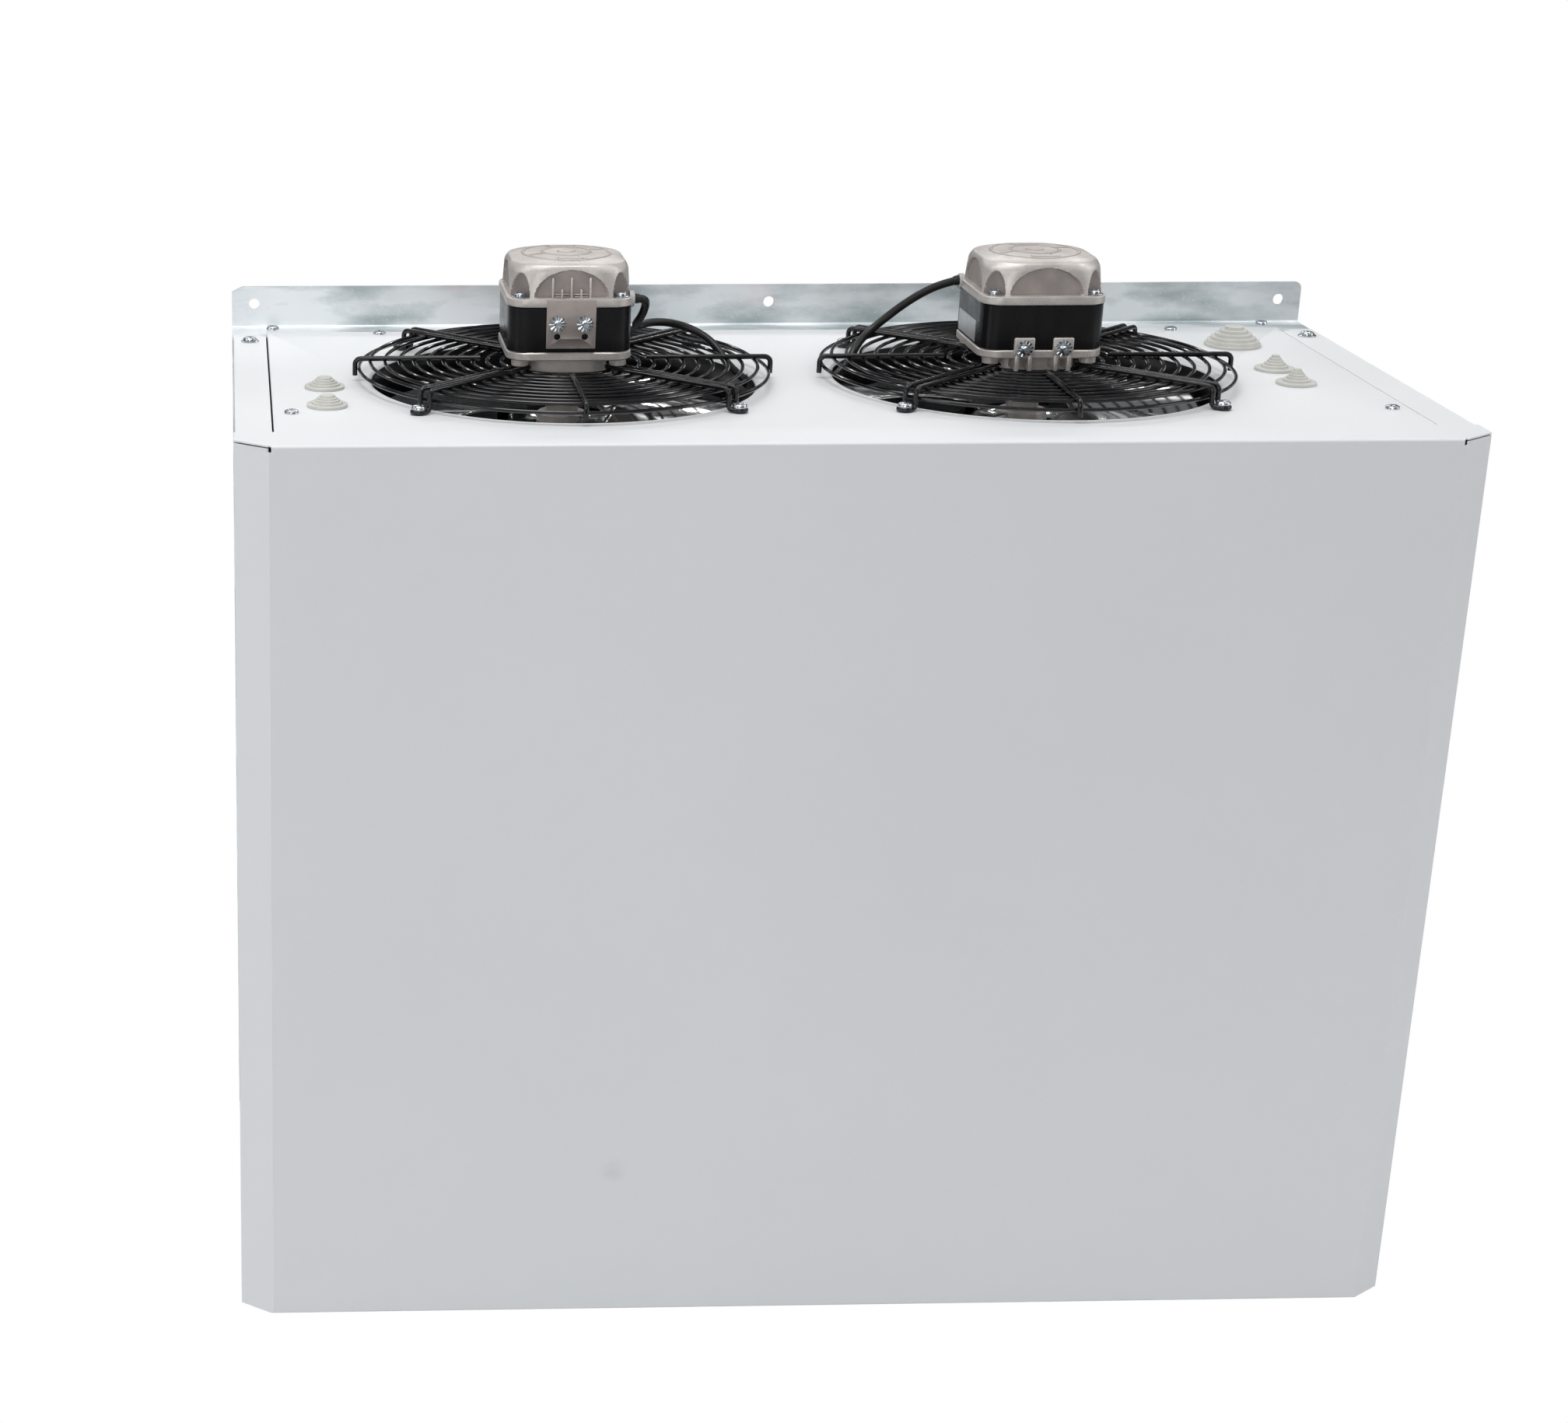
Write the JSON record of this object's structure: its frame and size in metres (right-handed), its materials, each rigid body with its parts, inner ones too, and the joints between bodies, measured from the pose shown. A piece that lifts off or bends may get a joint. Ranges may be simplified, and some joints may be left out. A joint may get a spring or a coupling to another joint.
{
  "type": "walk-in unit cooler",
  "caption": "Twin-fan cold room evaporator: white sheet casing with wire-guarded external motor fans on the inlet deck, finned coil, and hanging brackets.",
  "frame": {"origin": "middle of the hanging bolt pattern, on the mounting plane at the back of the casing", "axes": "+X to the right along the brackets, +Y into the ceiling or wall that carries the unit, +Z from the air outlet to the fan deck"},
  "size_m": [0.8, 0.392, 0.7293],
  "materials": {
    "white_paint": "smooth satin polyester paint",
    "galvanised": "hot-dip galvanised, soft streaks",
    "zinc": "bright zinc plating",
    "grommet_rubber": "matte pale grey rubber",
    "fins": "mill finish",
    "copper": "drawn copper tube",
    "pale_plastic": "moulded nylon",
    "grey_plastic": "moulded housing",
    "guard_black": "gloss black powder coat on wire",
    "casting": "die-cast aluminium, fine shot-blast grain",
    "stator_black": "satin black varnish on laminations",
    "rotor_steel": "turned steel",
    "hub_casting": "die-cast",
    "blade_aluminium": "bright rolled sheet",
    "lead_black": "smooth black jacket",
    "bush_rubber": "moulded black rubber"
  },
  "bodies": {
    "casing": {"arm_screws_left": "zinc", "arm_screws_right": "zinc", "back_panel": "galvanised", "bracket_deck_end": "galvanised", "bracket_outlet_end": "galvanised", "casing_screws": "zinc", "coil_fins": "fins", "coil_tubes": "copper", "drain_pan": "white_paint", "drain_socket": "pale_plastic", "fan_plate": "white_paint", "grommet_large": "grommet_rubber", "grommets_left": "grommet_rubber", "grommets_right": "grommet_rubber", "guard_arms_left": "guard_black", "guard_arms_right": "guard_black", "guard_rings_left": "guard_black", "guard_rings_right": "guard_black", "guard_screws_left": "zinc", "guard_screws_right": "zinc", "guard_spokes_left": "guard_black", "guard_spokes_right": "guard_black", "lead_bush_left": "bush_rubber", "lead_bush_right": "bush_rubber", "liquid_line": "copper", "motor_base_left": "casting", "motor_base_right": "casting", "motor_cover_left": "casting", "motor_cover_right": "casting", "motor_lead_left": "lead_black", "motor_lead_right": "lead_black", "motor_screws_left": "zinc", "motor_screws_right": "zinc", "motor_stator_left": "stator_black", "motor_stator_right": "stator_black", "partition_left": "galvanised", "partition_right": "galvanised", "return_bends_left": "copper", "return_bends_right": "copper", "side_panel_left": "white_paint", "side_panel_right": "white_paint", "strain_relief_left": "pale_plastic", "strain_relief_right": "pale_plastic", "suction_line": "copper", "terminal_box": "grey_plastic", "terminal_box_lid": "grey_plastic"},
    "fan_left": {"motor_rotor_left": "rotor_steel", "fan_hub_left": "hub_casting", "impeller_left": "blade_aluminium"},
    "fan_right": {"motor_rotor_right": "rotor_steel", "fan_hub_right": "hub_casting", "impeller_right": "blade_aluminium"}
  },
  "joints": [
    {"name": "fan_left_spin", "type": "hinge", "parent": "casing", "child": "fan_left", "pos_m": [-0.174, -0.196, 0.306], "axis": [0, 0, 1], "continuous": true},
    {"name": "fan_right_spin", "type": "hinge", "parent": "casing", "child": "fan_right", "pos_m": [0.145, -0.196, 0.306], "axis": [0, 0, 1], "continuous": true}
  ]
}
